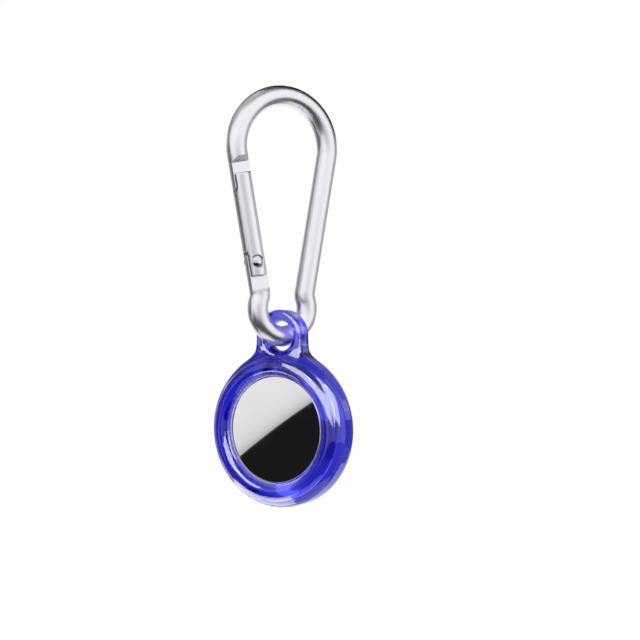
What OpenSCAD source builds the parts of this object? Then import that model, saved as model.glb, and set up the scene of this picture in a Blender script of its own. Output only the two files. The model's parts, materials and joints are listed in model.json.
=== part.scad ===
// Tracker tag holder: a pear-shaped spring-gate carabiner with a soft see-through case
// that hangs from it by a moulded eyelet and grips a round tracker tag by its rim.
// The origin is the hang point, inside the top of the big loop. +Z is up. The rod is
// bent in the XZ plane, with the gate on the -X side. Lengths are in millimetres. The tag
// is sized from its coin cell outwards, and the case from the tag.

/* [Rod and loops] */
// Diameter of the bent rod
rod_d = 5; // [4.6:0.1:5.4]
// Centreline radius of the big loop
loop_r = 12.5; // [12:0.1:15]
// Distance between the centres of the two loops
loop_drop = 39; // [37:0.5:46]
// Room beside the eyelet inside the small loop at the foot
foot_room = 1.85; // [1.7:0.05:2.6]
// Distance by which each leg's line passes inside the small loop's centreline
leg_in = 1.36; // [1:0.01:1.6]
// Centreline radius of the reverse bend between a leg and the small loop
neck_r = 3.5; // [3.2:0.1:5]
// Length by which a lapped bend runs on into the rod beyond it
bend_lap = 0.1; // [0.06:0.02:0.2]

/* [Nose and hinge tongue] */
// Full round rod that is left between the big loop and the nose
top_stub = 1.75; // [1.6:0.05:3]
// Full round rod that is left between the hinge tongue and the reverse bend
foot_stub = 0.64; // [0.4:0.02:1]
// Bare flat of the nose above the gate
nose_bare = 2.5; // [1.8:0.1:4]
// Bare flat of the hinge tongue below the gate
hinge_bare = 3.1; // [2.4:0.1:4]
// Length of the sloping run-out above the nose flats
nose_ramp = 1.5; // [0.4:0.1:1.5]
// Length of the steep run-out below the hinge flats
hinge_ramp = 0.6; // [0.3:0.05:1]
// Height of the hinge tongue above the rivet
tongue_up = 1.75; // [1.5:0.05:1.9]
// Width of the flat top of the hinge tongue
tongue_top_w = 3; // [2.4:0.1:3.2]

/* [Gate] */
// Wall of the gate on each side of its slots
cheek_t = 1.2; // [1.1:0.05:1.4]
// Gap on each side of the nose and of the hinge tongue in their slots
slot_fit = 0.4; // [0.2:0.05:0.5]
// Depth of the slot that takes the nose
nose_slot = 4.6; // [3.5:0.1:6]
// Wall that closes the nose slot on the inner side of the gate
nose_wall = 1.1; // [0.8:0.05:1.4]
// Room in the hinge slot above the hinge tongue
slot_room = 0.85; // [0.75:0.05:1.2]
// Gap between the gate's top end and the full width of the nose
end_gap = 0.4; // [0.3:0.05:0.8]
// Gap between the nose and the closed side of its slot
nose_gap = 0.15; // [0.1:0.05:0.3]
// Bevel on the ends of the gate
gate_bevel = 0.2; // [0.1:0.05:0.4]

/* [Gate rivet] */
// Height of the rivet above the gate's lower end
rivet_up = 3.65; // [3.2:0.05:5]
// Offset of the rivet towards the outer side of the gate
rivet_out = 0.4; // [0.3:0.05:0.5]
// Diameter of the rivet's shank
rivet_d = 1.6; // [1.2:0.1:1.8]
// Diameter of the domed rivet heads
head_d = 2.9; // [2.4:0.1:3]
// Height of each rivet head
head_h = 0.8; // [0.6:0.05:1]
// Depth of each head's seat below the round of the gate
head_sunk = 0.55; // [0.4:0.05:0.7]
// Clearance round the shank in the hinge tongue
rivet_fit = 0.05; // [0.03:0.01:0.09]

/* [Plunger and spring] */
// Wall of the gate round its blind bore
bore_wall = 1; // [0.9:0.05:1.1]
// Metal left between the blind bore and the nose slot
bore_web = 1.6; // [1:0.1:3]
// Length of the plunger
plunger_len = 3; // [2.6:0.1:4]
// Clearance round the plunger in its bore
plunger_fit = 0.08; // [0.04:0.01:0.1]
// Gap between the plunger's tip and the hinge tongue
cam_gap = 0.1; // [0.06:0.02:0.2]
// Clearance round the spring in the bore
spring_fit = 0.2; // [0.15:0.01:0.3]
// Diameter of the spring wire
wire_d = 0.35; // [0.25:0.05:0.4]
// Number of curls in the spring
spring_turns = 9; // [6:1:10]
// Gap at each end of the spring
spring_seat = 0.05; // [0.02:0.01:0.1]

/* [Coin cell and tray] */
// Diameter of the coin cell
cell_d = 20; // [19.8:0.1:20]
// Thickness of the coin cell
cell_t = 3.2; // [3:0.05:3.2]
// Gap between the cell and the cover's crown
cell_gap = 0.8; // [0.7:0.05:0.9]
// Clearance round the cell in its tray
cell_fit = 0.35; // [0.2:0.05:0.4]
// Depth of the step round the cell's negative face
cell_step = 0.25; // [0.15:0.05:0.3]
// Height of the cell above the tray's wall
cell_stand = 0.55; // [0.4:0.05:0.7]
// Thickness of the tray's floor
tray_t = 0.5; // [0.4:0.05:0.55]
// Thickness of the tray's wall
tray_wall = 0.8; // [0.6:0.05:0.9]
// Width of the tray's floor beyond its wall
tray_edge = 0.95; // [0.6:0.05:1]
// Thickness of the contact springs
contact_t = 0.15; // [0.1:0.01:0.17]
// Gap over and under the contact springs
contact_gap = 0.05; // [0.03:0.01:0.06]
// Length of each contact spring
contact_len = 4.6; // [3:0.1:5]
// Width of each contact spring
contact_w = 1.4; // [1:0.1:2]

/* [Circuit board] */
// Distance of the circuit board's edge inside the tray's edge
board_in = 0.2; // [0.1:0.05:0.6]
// Thickness of the circuit board
board_t = 0.6; // [0.4:0.05:0.65]
// Gap between the circuit board and the tray
board_gap = 0.25; // [0.2:0.05:0.3]
// Height of the chips on the circuit board
chip_h = 0.35; // [0.3:0.01:0.38]
// Gap between the outermost chips and the shell's floor
chip_gap = 0.13; // [0.1:0.01:0.2]
// Gap between the antenna ring and the shell's wall at its widest
antenna_gap = 0.85; // [0.8:0.05:1]
// Radial width of the antenna ring
antenna_w = 1.6; // [1:0.1:1.7]
// Height of the antenna ring
antenna_h = 1.2; // [0.9:0.1:1.2]

/* [Sounder] */
// Outside diameter of the magnet's steel cup
cup_d = 12.8; // [12.4:0.1:13]
// Gap between the steel cup and the circuit board
cup_gap = 0.5; // [0.3:0.05:0.7]
// Wall of the steel cup
cup_wall = 0.5; // [0.4:0.05:0.55]
// Depth of the steel cup
cup_h = 1.1; // [1:0.05:1.15]
// Thickness of the steel cup's base
cup_base = 0.3; // [0.25:0.05:0.35]
// Thickness of the pad between the cup and the tray
pad_t = 0.1; // [0.06:0.01:0.12]
// Thickness of the magnet
magnet_t = 0.75; // [0.5:0.05:0.8]
// Gap between the magnet and the voice coil
magnet_gap = 0.6; // [0.4:0.05:0.8]
// Radial width of the voice coil
coil_w = 1; // [0.8:0.05:1.2]
// Gap between the voice coil and the cup's wall
coil_side = 0.5; // [0.3:0.05:0.6]
// Gap between the voice coil and the cup's base
coil_gap = 0.25; // [0.2:0.05:0.35]

/* [Battery cover] */
// Gap between the tray's wall and the cover's skirt
skirt_gap = 0.55; // [0.4:0.05:0.7]
// Length of the cover's skirt
skirt_len = 1.5; // [1.4:0.05:1.6]
// Width of the steel cover beyond its skirt
cover_edge = 0.75; // [0.7:0.05:1]
// Thickness of the steel sheet
cover_t = 0.35; // [0.3:0.05:0.4]
// Fall of the cover's edge below its crown
cover_fall = 0.5; // [0.3:0.05:0.55]
// Clearance round the cover in its opening
cover_fit = 0.2; // [0.1:0.05:0.2]
// Width of each bayonet lug beyond the skirt
lug_out = 0.6; // [0.5:0.05:0.65]
// Thickness of each bayonet lug
lug_t = 0.4; // [0.3:0.05:0.45]
// Arc of each bayonet lug, in degrees
lug_arc = 16; // [10:1:18]
// Width of each catch in the shell
catch_in = 0.55; // [0.45:0.05:0.6]
// Thickness of each catch
catch_t = 0.4; // [0.3:0.05:0.45]
// Arc of each catch, in degrees
catch_arc = 24; // [18:1:28]
// Clearance between a lug and its catch
lug_gap = 0.15; // [0.1:0.05:0.2]

/* [Tag shell] */
// Width of the flat lip round the cover's opening
front_lip = 0.35; // [0.3:0.05:0.5]
// Width of the rounded rim at the front
front_round = 2.6; // [2.4:0.05:2.7]
// Width of the rounded rim at the back
back_round = 3.35; // [3:0.05:3.6]
// Fall of the shell's front edge below the crown of the steel cover
front_fall = 0.7; // [0.6:0.05:0.8]
// Fall of the domed back from its middle to the start of the rounded rim
dome_fall = 0.9; // [0.6:0.05:1]
// Height of the widest line above the tag's middle
rim_up = 0.3; // [0:0.1:0.6]
// Wall of the tag's shell
shell_wall = 0.9; // [0.8:0.05:1]

/* [Case] */
// Clearance between the case and the tag
tag_fit = 0.1; // [0.06:0.01:0.2]
// Distance of the tag's middle behind the middle of the case
tag_shift = 0.4; // [0.2:0.1:0.6]
// Wall of the case round the tag's rim
case_wall = 2.75; // [2.5:0.05:3.2]
// Height of the rounded shoulders above each crown of the tag
shoulder_up = 0.2; // [0:0.05:0.4]
// Height of each lip above the rounded shoulders
lip_up = 1; // [0.8:0.05:1.4]
// Distance of the top of each lip inside the tag's rim
lip_in = 0.45; // [0.3:0.05:0.6]
// Radius of the rounded top of each lip
lip_round = 1.8; // [1.5:0.1:2]
// Flat between the top of each lip and its rounded shoulder
lip_flat = 0.3; // [0.2:0.05:0.6]
// Distance of the window's edge outside the steel cover's edge
window_gap = 0.35; // [0.3:0.05:0.7]
// Thickness of the lip at the edge of the window
window_edge = 0.7; // [0.5:0.05:0.9]
// Turn of the hanging case about the vertical, in degrees
case_turn = -62; // [-90:0.5:-61.5]

/* [Eyelet] */
// Clearance between the rod and the throat of the eyelet's hole
hole_fit = 1; // [1:0.05:1.2]
// Wall of the eyelet outside the throat of its hole
eyelet_wall = 2.85; // [2.75:0.05:3.2]
// Thickness of the eyelet
eyelet_t = 4.8; // [4.2:0.1:4.9]
// Radius of the eyelet's rounded edges
eyelet_edge = 1; // [0.8:0.05:1.05]
// Flat between the flared hole and the rounded edge
eyelet_flat = 0.1; // [0.1:0.01:0.2]
// Radius of the fillets between the eyelet and the case
eyelet_fillet = 5; // [3:0.1:7]
// Height of the hole's centre above the rim of the case
eyelet_up = 3.75; // [3.6:0.05:4.2]
// Rise of the hole's centre above the rod's centre
hang_lift = 0.1; // [0:0.01:0.15]

/* [Hidden] */
$fn = 64;
// Overrun of every cut beyond the face it opens
over = 0.5;
// Small gap between pieces that are assembled tight, and depth by which joined stock overlaps
hair = 0.02;
// Steps in each quarter of a curved outline
arc_steps = 12;
// Short side of the radio shield as a share of a large chip's width
shield_share = 0.9;

// Radii of the eyelet, and of the rod
rod_r = rod_d / 2;
eyelet_half = eyelet_t / 2;
hole_r = rod_r + hole_fit;
eyelet_r = hole_r + eyelet_wall;
hole_flare = eyelet_wall - eyelet_edge - eyelet_flat;

// Rod: loop centres and the run of a leg, all along the centreline
foot_r = rod_r + eyelet_half + foot_room;
loop_z = rod_r - loop_r;
foot_z = loop_z - loop_drop;
leg_gap = foot_r - leg_in;
lean = asin((loop_r - leg_gap) / loop_drop);
bend_run = sqrt(pow(foot_r + neck_r, 2) - pow(leg_gap + neck_r, 2));
bend_a = acos((leg_gap + neck_r) / (foot_r + neck_r));
foot_a = bend_a - lean;
leg_len = loop_drop * cos(lean) - bend_run;
rod_low_z = foot_z - foot_r;

// Stations along the gate's leg, measured down from the big loop
slot_w = rod_d - 2 * cheek_t;
tongue_t = slot_w - 2 * slot_fit;
bore_d = rod_d - 2 * bore_wall;
gate_top = top_stub + nose_bare;
gate_end = leg_len - foot_stub - hinge_bare;
gate_len = gate_end - gate_top;
rivet_s = gate_end - rivet_up;
nose_tip_s = gate_top + nose_slot - end_gap;
nose_floor_s = gate_top + nose_slot;
bore_top_s = nose_floor_s + bore_web;
tongue_top_s = rivet_s - tongue_up;
slot_floor_s = tongue_top_s - slot_room;
plunger_tip_s = tongue_top_s - cam_gap;
plunger_top_s = plunger_tip_s - plunger_len;
head_seat = rod_r - head_sunk;

// Spring
spring_low_s = plunger_top_s - spring_seat;
spring_top_s = bore_top_s + spring_seat;
spring_len = spring_low_s - spring_top_s;
wire_r = wire_d / 2;
spring_r = bore_d / 2 - spring_fit - wire_r;
rings_a_curl = 8;
wire_sides = 6;
spring_rings = spring_turns * rings_a_curl;

// Radii of the tag, from its coin cell outwards
cell_r = cell_d / 2;
wall_in_r = cell_r + cell_fit;
wall_out_r = wall_in_r + tray_wall;
tray_r = wall_out_r + tray_edge;
skirt_in_r = wall_out_r + skirt_gap;
skirt_r = skirt_in_r + cover_t;
cover_r = skirt_r + cover_edge;
opening_r = cover_r + cover_fit;
front_r = opening_r + front_lip;
tag_r = front_r + front_round;
dome_r = tag_r - back_round;
cup_r = cup_d / 2;
coil_out_r = cup_r - cup_wall - coil_side;
coil_in_r = coil_out_r - coil_w;
board_in_r = cup_r + cup_gap;
board_r = tray_r - board_in;
chip_mid_r = (board_in_r + board_r) / 2;
chip_w = 2 * contact_w;
chip_out_r = norm([chip_mid_r + chip_w / 2, chip_w / 2]);

// Thickness of the tag: all that is stacked in it, from the cover's crown to the shell's back
floor_rise = dome_fall * pow(chip_out_r / dome_r, 2);
tag_t = cover_t + cell_gap + cell_t + contact_t + 2 * contact_gap + tray_t + board_gap + board_t
        + chip_h + chip_gap + floor_rise + shell_wall;
tag_half = tag_t / 2;

// Levels of the tag, counted from its middle
front_z = tag_half - front_fall;
skirt_low_z = tag_half - cover_fall - cover_t - skirt_len;
cell_top_z = tag_half - cover_t - cell_gap;
cell_z = cell_top_z - cell_t;
tray_top_z = cell_z - contact_t - 2 * contact_gap;
tray_wall_z = cell_top_z - cell_stand;
tray_z = tray_top_z - tray_t;
board_top_z = tray_z - board_gap;
board_z = board_top_z - board_t;
chip_z = board_z - chip_h;
cup_top_z = tray_z - pad_t - hair;
cup_z = cup_top_z - cup_h;
magnet_top_z = cup_top_z - cup_base - hair;

// Case: radii and levels
case_r = tag_r + tag_fit + case_wall;
case_half = tag_half + shoulder_up;
case_t = 2 * case_half;
lip_z = case_half + lip_up;
lip_r = tag_r - lip_in;
shoulder_r = case_r - lip_r - lip_flat;
window_r = cover_r + window_gap;
eyelet_reach = case_r + eyelet_up;
hole_z = rod_low_z + hang_lift;
case_z = hole_z - eyelet_reach;
blend_r = case_r - hair;
fillet_y = sqrt(pow(blend_r + eyelet_fillet, 2) - pow(eyelet_r + eyelet_fillet, 2));
fillet_a = atan(fillet_y / (eyelet_r + eyelet_fillet));

// Sets its children on the plain leg: z runs up the leg and x points out of the loop
module on_plain_leg() {
    translate([loop_r * cos(lean), 0, loop_z - loop_r * sin(lean)]) rotate([0, lean, 0]) children();
}

// Sets its children on the gate's leg, in the same way
module on_gate_leg() {
    mirror([1, 0, 0]) on_plain_leg() children();
}

// Sets its children in the case: z points out of its front, y up to the eyelet
module in_case() {
    translate([0, 0, case_z]) rotate([0, 0, case_turn]) rotate([90, 0, 0]) children();
}

// Sets its children in the tag, whose middle lies behind the middle of the case
module in_tag() {
    in_case() translate([0, 0, -tag_shift]) children();
}

// A bend in the XZ plane about the local origin. A lapped bend is a hair
// thinner than the rod, and both its ends run on into the rod beyond them.
module bend(r, start, sweep, lapped = false) {
    run_on = lapped ? asin(bend_lap / r) : 0;
    rotate([90, 0, 0]) rotate([0, 0, start - run_on])
        rotate_extrude(angle = sweep + 2 * run_on) translate([r, 0])
            circle(r = lapped ? rod_r - hair : rod_r);
}

// A straight length of rod from station s1 down to station s2 of a leg
module rod_run(s1, s2) {
    translate([0, 0, -s2]) cylinder(r = rod_r, h = s2 - s1);
}

// A tube between two radii
module tube(r_in, r_out, z, h) {
    translate([0, 0, z]) difference() {
        cylinder(r = r_out, h = h);
        translate([0, 0, -over]) cylinder(r = r_in, h = h + 2 * over);
    }
}

// The nose: rod that slopes down to two flats and ends in a narrow round-ended tip
module nose() {
    half_t = tongue_t / 2;
    tip_x = nose_gap + nose_wall - rod_r;
    tip_z = half_t - nose_tip_s;
    ramp_z = nose_ramp * (rod_d - half_t) / (rod_r - half_t) - top_stub;
    intersection() {
        rod_run(0, nose_tip_s);
        rotate([90, 0, 90]) linear_extrude(2 * rod_d, center = true) {
            polygon([[-rod_d, ramp_z], [-half_t, -top_stub], [-half_t, tip_z],
                     [half_t, tip_z], [half_t, -top_stub], [rod_d, ramp_z]]);
            translate([0, tip_z]) circle(d = tongue_t);
        }
        union() {
            rod_run(-over, gate_top - end_gap);
            translate([tip_x, -rod_d, -nose_tip_s - over])
                cube([2 * rod_d, 2 * rod_d, nose_tip_s]);
        }
    }
}

// The hinge tongue: two flats on the rod, a flat top for the plunger and the rivet's bore
module hinge_tongue() {
    half_t = tongue_t / 2;
    half_top = tongue_top_w / 2;
    low_z = -gate_end - hinge_bare;
    ramp_z = low_z - hinge_ramp * (rod_d - half_t) / (rod_r - half_t);
    difference() {
        intersection() {
            rod_run(tongue_top_s, leg_len);
            rotate([90, 0, 90]) linear_extrude(2 * rod_d, center = true)
                polygon([[-half_t, over - tongue_top_s], [-half_t, low_z], [-rod_d, ramp_z],
                         [rod_d, ramp_z], [half_t, low_z], [half_t, over - tongue_top_s]]);
            rotate([90, 0, 0]) linear_extrude(2 * rod_d, center = true)
                polygon([[rivet_out - half_top, -tongue_top_s], [rivet_out + half_top, -tongue_top_s],
                         [rod_d, -rivet_s - tongue_up], [rod_d, -leg_len - over],
                         [-rod_d, -leg_len - over], [-rod_d, -rivet_s - 2 * tongue_up]]);
        }
        translate([rivet_out, 0, -rivet_s]) rotate([90, 0, 0])
            cylinder(d = rivet_d + 2 * rivet_fit, h = 2 * rod_d, center = true);
    }
}

module carabiner_body() {
    color("silver") {
        on_plain_leg() rod_run(0, leg_len);
        translate([0, 0, loop_z]) bend(loop_r, -lean, 180 + 2 * lean, true);
        on_plain_leg() translate([neck_r, 0, -leg_len]) bend(neck_r, 180, bend_a, true);
        translate([0, 0, foot_z]) bend(foot_r, 180 - foot_a, 180 + 2 * foot_a);
        on_gate_leg() translate([neck_r, 0, -leg_len]) bend(neck_r, 180, bend_a, true);
        on_gate_leg() hinge_tongue();
        on_gate_leg() nose();
    }
}

// The gate: a round bar with bevelled ends, a slot for the nose that is closed towards the
// loop, a through slot for the hinge tongue, a blind bore and the rivet's counterbored holes
module carabiner_gate() {
    floor_z = -nose_floor_s + slot_w / 2;
    color("gainsboro") on_gate_leg() difference() {
        translate([0, 0, -gate_end]) rotate_extrude()
            polygon([[0, 0], [rod_r - gate_bevel, 0], [rod_r, gate_bevel],
                     [rod_r, gate_len - gate_bevel], [rod_r - gate_bevel, gate_len], [0, gate_len]]);
        translate([nose_wall - rod_r, 0, 0]) rotate([90, 0, 90]) linear_extrude(2 * rod_d) {
            translate([-slot_w / 2, floor_z]) square([slot_w, nose_slot + over]);
            translate([0, floor_z]) circle(d = slot_w);
        }
        translate([-rod_d, -slot_w / 2, -gate_end - over])
            cube([2 * rod_d, slot_w, gate_end - slot_floor_s + over]);
        translate([0, 0, -gate_end - over])
            cylinder(d = bore_d, h = gate_end - bore_top_s + over);
        translate([rivet_out, 0, -rivet_s]) rotate([90, 0, 0]) {
            cylinder(d = rivet_d + 2 * hair, h = 2 * rod_d, center = true);
            for (side = [0, 180]) rotate([side, 0, 0]) translate([0, 0, head_seat])
                cylinder(d = head_d + 2 * rivet_fit, h = rod_d);
        }
    }
}

// The rivet, with a domed head on each side
module gate_rivet() {
    head_r = (pow(head_d / 2, 2) + pow(head_h, 2)) / (2 * head_h);
    color("whitesmoke") on_gate_leg() translate([rivet_out, 0, -rivet_s]) rotate([90, 0, 0]) {
        cylinder(d = rivet_d, h = 2 * head_seat + head_h, center = true);
        for (side = [0, 180]) rotate([side, 0, 0]) intersection() {
            translate([0, 0, head_seat + hair + head_h - head_r]) sphere(r = head_r);
            translate([0, 0, head_seat + hair]) cylinder(d = head_d, h = head_h + over);
        }
    }
}

// The plunger, whose round tip bears on the top of the hinge tongue
module gate_plunger() {
    tip_r = bore_d / 2 - plunger_fit;
    pin_r = spring_r - wire_r - plunger_fit;
    color("lightsteelblue") on_gate_leg() translate([0, 0, -plunger_tip_s]) rotate_extrude() {
        intersection() {
            translate([0, tip_r]) circle(r = tip_r);
            square(tip_r);
        }
        translate([0, tip_r]) square([tip_r, plunger_len - tip_r]);
        translate([0, tip_r]) square([pin_r, plunger_len - tip_r / 2]);
    }
}

// The centre of ring k of the spring's wire, counted from its lower end
function spring_centre(k) =
    let (a = 360 * k / rings_a_curl,
         rise = wire_r + (spring_len - wire_d) * k / spring_rings)
    [spring_r * cos(a), spring_r * sin(a), rise - spring_low_s];

// Corner j of ring k: the wire's round section, set square to the helix
function spring_point(k, j) =
    let (a = 360 * k / rings_a_curl, b = 360 * j / wire_sides,
         climb = atan((spring_len - wire_d) / spring_turns / (2 * PI * spring_r)),
         side = wire_r * cos(b), up = wire_r * sin(b))
    spring_centre(k) + [side * cos(a) + up * sin(climb) * sin(a),
                        side * sin(a) - up * sin(climb) * cos(a), up * cos(climb)];

spring_points = [for (k = [0 : spring_rings], j = [0 : wire_sides - 1]) spring_point(k, j)];
spring_faces = concat(
    [[for (j = [0 : wire_sides - 1]) j]],
    [for (k = [0 : spring_rings - 1], j = [0 : wire_sides - 1])
        let (n = (j + 1) % wire_sides, low = k * wire_sides, high = low + wire_sides)
        for (f = [[low + j, high + j, low + n], [low + n, high + j, high + n]]) f],
    [[for (j = [wire_sides - 1 : -1 : 0]) spring_rings * wire_sides + j]]);

// The least gap from the spring's first curls to the wire half a curl or more further on
spring_gap = min([for (j = [0 : wire_sides - 1], k = [rings_a_curl / 2 : 2 * rings_a_curl],
                       i = [0 : wire_sides - 1])
    norm(spring_point(0, j) - spring_point(k, i))]);
echo(least_gap_in_spring = spring_gap);

module gate_spring() {
    color("dimgray") on_gate_leg() polyhedron(points = spring_points, faces = spring_faces);
}

// The tag's outline from its back crown round to its front edge, moved outwards by c
function tag_outline(c) = concat(
    [for (i = [0 : arc_steps]) let (q = i / arc_steps)
        [dome_r * q, dome_fall * q * q - tag_half - c]],
    [for (i = [1 : arc_steps]) let (a = 90 * i / arc_steps - 90)
        [dome_r + (back_round + c) * cos(a), rim_up + (rim_up + tag_half - dome_fall + c) * sin(a)]],
    [for (i = [1 : arc_steps]) let (a = 90 * i / arc_steps)
        [front_r + (front_round + c) * cos(a), rim_up + (front_z - rim_up + c) * sin(a)]]);

// Half of the case's section: rounded shoulders outside, a raised lip round each window
module case_section() {
    front_edge = front_z - tag_shift + tag_fit + window_edge;
    back_edge = tag_half - dome_fall + tag_shift + tag_fit + window_edge;
    for (side = [0, 1]) mirror([0, side]) {
        translate([case_r - shoulder_r, case_half - shoulder_r]) circle(r = shoulder_r);
        translate([lip_r, lip_z - lip_round]) circle(r = lip_round);
    }
    translate([lip_r, shoulder_r - case_half])
        square([case_r - lip_r, case_t - 2 * shoulder_r]);
    translate([lip_r, -case_half]) square([case_r - shoulder_r - lip_r, case_t]);
    translate([window_r, -back_edge]) square([lip_r - window_r, front_edge + back_edge]);
}

// A strip of eyelet stock: its thickness along y, with its rounded edge at x = 0
module edge_section(w) {
    translate([eyelet_edge, -eyelet_half]) square([w - eyelet_edge, eyelet_t]);
    translate([0, eyelet_edge - eyelet_half]) square([w, eyelet_t - 2 * eyelet_edge]);
    for (side = [-1, 1]) translate([eyelet_edge, side * (eyelet_half - eyelet_edge)])
        circle(r = eyelet_edge);
}

// The eyelet's ring, its short shank and the two fillets that run down into the case
module eyelet() {
    shank_y = tag_r + (case_r - tag_r) / 2;
    translate([0, eyelet_reach, 0]) rotate_extrude() intersection() {
        translate([eyelet_r, 0]) mirror([1, 0]) edge_section(2 * eyelet_r);
        translate([0, -eyelet_t]) square([2 * eyelet_r, 2 * eyelet_t]);
    }
    translate([0, eyelet_reach, 0]) rotate([90, 0, 0]) linear_extrude(eyelet_reach - shank_y)
        for (side = [0, 1]) mirror([side, 0]) translate([-eyelet_r, 0]) edge_section(eyelet_r);
    for (side = [0, 1]) mirror([side, 0, 0])
        translate([eyelet_r + eyelet_fillet, fillet_y, 0]) rotate([0, 0, 180])
            rotate_extrude(angle = fillet_a) translate([eyelet_fillet, 0]) edge_section(eyelet_r);
}

// The hole through the eyelet: a full-round throat that opens towards both faces
module eyelet_hole() {
    translate([0, eyelet_reach, 0]) rotate_extrude() difference() {
        translate([0, -case_t]) square([hole_r + hole_flare, 2 * case_t]);
        polygon([for (i = [-arc_steps : arc_steps]) let (a = 90 * i / arc_steps)
            [hole_r + hole_flare * (1 - cos(a)), eyelet_half * sin(a)]]);
    }
}

module tag_case() {
    color([0.16, 0.12, 0.78, 0.75]) in_case() difference() {
        union() {
            rotate_extrude() case_section();
            eyelet();
        }
        eyelet_hole();
        translate([0, 0, -tag_shift]) rotate_extrude()
            polygon(concat(tag_outline(tag_fit), [[0, front_z + tag_fit]]));
    }
}

// The shell: a domed back with a rounded rim, open at the front, with three bayonet catches
module tag_shell() {
    catch_z = skirt_low_z + lug_t + lug_gap;
    inside = tag_outline(-shell_wall);
    color("white") in_tag() {
        rotate_extrude() polygon(concat(tag_outline(0),
            [[opening_r, front_z], [opening_r, skirt_low_z - lug_gap]],
            [for (i = [2 * arc_steps : -1 : 0]) inside[i]]));
        for (k = [0 : 2]) rotate([0, 0, 120 * k + 90 - catch_arc / 2])
            rotate_extrude(angle = catch_arc) translate([opening_r - catch_in, catch_z])
                square([catch_in + hair, catch_t]);
    }
}

// The polished steel cover: a shallow dished disc, a turned skirt and three bayonet lugs
module battery_cover() {
    skirt_top_z = tag_half - cover_fall - cover_t / 2;
    color("gainsboro") in_tag() {
        rotate_extrude() {
            polygon(concat(
                [for (i = [0 : arc_steps]) let (q = i / arc_steps)
                    [cover_r * q, tag_half - cover_fall * q * q]],
                [for (i = [arc_steps : -1 : 0]) let (q = i / arc_steps)
                    [cover_r * q, tag_half - cover_t - cover_fall * q * q]]));
            translate([skirt_in_r, skirt_low_z]) square([cover_t, skirt_top_z - skirt_low_z]);
        }
        for (k = [0 : 2]) rotate([0, 0, 120 * k + 90 - lug_arc / 2])
            rotate_extrude(angle = lug_arc) translate([skirt_r - cover_t / 2, skirt_low_z])
                square([lug_out + cover_t / 2, lug_t]);
    }
}

// The soft ring that seals the cover to the tray's wall
module cover_seal() {
    seal_low_z = tray_wall_z + contact_gap;
    seal_top_z = tag_half - cover_fall - cover_t;
    color("dimgray") in_tag()
        tube(wall_in_r, skirt_in_r - contact_gap, seal_low_z, seal_top_z - seal_low_z);
}

// The coin cell: a rolled can with a smaller negative face towards the contacts
module coin_cell() {
    color("silver") in_tag() translate([0, 0, cell_z]) rotate_extrude()
        polygon([[0, 0], [cell_r - 4 * cell_step, 0], [cell_r - 4 * cell_step, cell_step],
                 [cell_r - cell_step, cell_step], [cell_r, 2 * cell_step],
                 [cell_r, cell_t - cell_step], [cell_r - cell_step, cell_t], [0, cell_t]]);
}

// The battery tray: a floor with three contact windows and a wall round the cell
module battery_tray() {
    wall_h = tray_wall_z - tray_top_z;
    color("whitesmoke") in_tag() difference() {
        rotate_extrude() {
            translate([0, tray_z]) square([tray_r, tray_t]);
            translate([wall_in_r, tray_z]) square([tray_wall, tray_wall_z - tray_z]);
        }
        for (k = [0 : 2]) rotate([0, 0, 120 * k + 30])
            translate([cell_r / 2 + contact_len / 4, -contact_w, tray_z - over])
                cube([contact_len / 2, 2 * contact_w, tray_t + 2 * over]);
        for (k = [0 : 2]) rotate([0, 0, 120 * k + 90])
            translate([wall_in_r - over, -contact_w, tray_top_z + wall_h / 2])
                cube([tray_wall + 2 * over, 2 * contact_w, wall_h]);
    }
}

// Three leaf springs with a raised dimple each, between the tray and the cell
module battery_contacts() {
    color("goldenrod") in_tag() for (k = [0 : 2]) rotate([0, 0, 120 * k + 30])
        translate([cell_r / 2, 0, tray_top_z + contact_gap]) {
            translate([-contact_len / 2, -contact_w / 2, 0])
                cube([contact_len, contact_w, contact_t]);
            translate([contact_len / 2, 0, -tray_t / 2])
                cylinder(d = contact_w, h = tray_t / 2 + contact_t);
        }
}

// The ring-shaped circuit board, with three notches in its edge
module circuit_board() {
    color("darkgreen") in_tag() difference() {
        tube(board_in_r, board_r, board_z, board_t);
        for (k = [0 : 2]) rotate([0, 0, 120 * k + 90])
            translate([board_r, 0, board_z - over]) cylinder(d = contact_w, h = board_t + 2 * over);
    }
}

// The chips on the board's back, in two sizes round the ring
module board_chips() {
    color("black") in_tag() for (k = [0 : 6]) rotate([0, 0, 36 * k + 200]) {
        w = k % 2 == 0 ? chip_w : chip_w / 2;
        translate([chip_mid_r - w / 2, -w / 2, chip_z]) cube([w, w, chip_h - hair]);
    }
}

// The metal can over the radio chip
module radio_shield() {
    color("lightgray") in_tag() rotate([0, 0, 140])
        translate([chip_mid_r - chip_w / 2, -shield_share * chip_w, chip_z])
            cube([shield_share * chip_w, 2 * shield_share * chip_w, chip_h - hair]);
}

// The antenna ring round the board, with three notches in its lower edge
module antenna_ring() {
    r_out = tag_r - shell_wall - antenna_gap;
    color("tan") in_tag() difference() {
        tube(r_out - antenna_w, r_out, board_z + board_t, antenna_h);
        for (k = [0 : 2]) rotate([0, 0, 120 * k])
            translate([r_out - antenna_w - over, -contact_w / 2, board_z + board_t - over])
                cube([antenna_w + 2 * over, contact_w, antenna_h / 2 + over]);
    }
}

// The steel cup that carries the magnet in the middle of the board
module magnet_cup() {
    color("slategray") in_tag() translate([0, 0, cup_z]) difference() {
        cylinder(r = cup_r, h = cup_h);
        translate([0, 0, -over]) cylinder(r = cup_r - cup_wall, h = cup_h - cup_base + over);
    }
}

// The thin pad between the cup and the tray
module magnet_pad() {
    color("darkslategray") in_tag() translate([0, 0, cup_top_z + hair / 2])
        cylinder(r = coil_out_r, h = pad_t);
}

module speaker_magnet() {
    color("dimgray") in_tag() translate([0, 0, magnet_top_z - magnet_t])
        cylinder(r = coil_in_r - magnet_gap, h = magnet_t);
}

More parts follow.
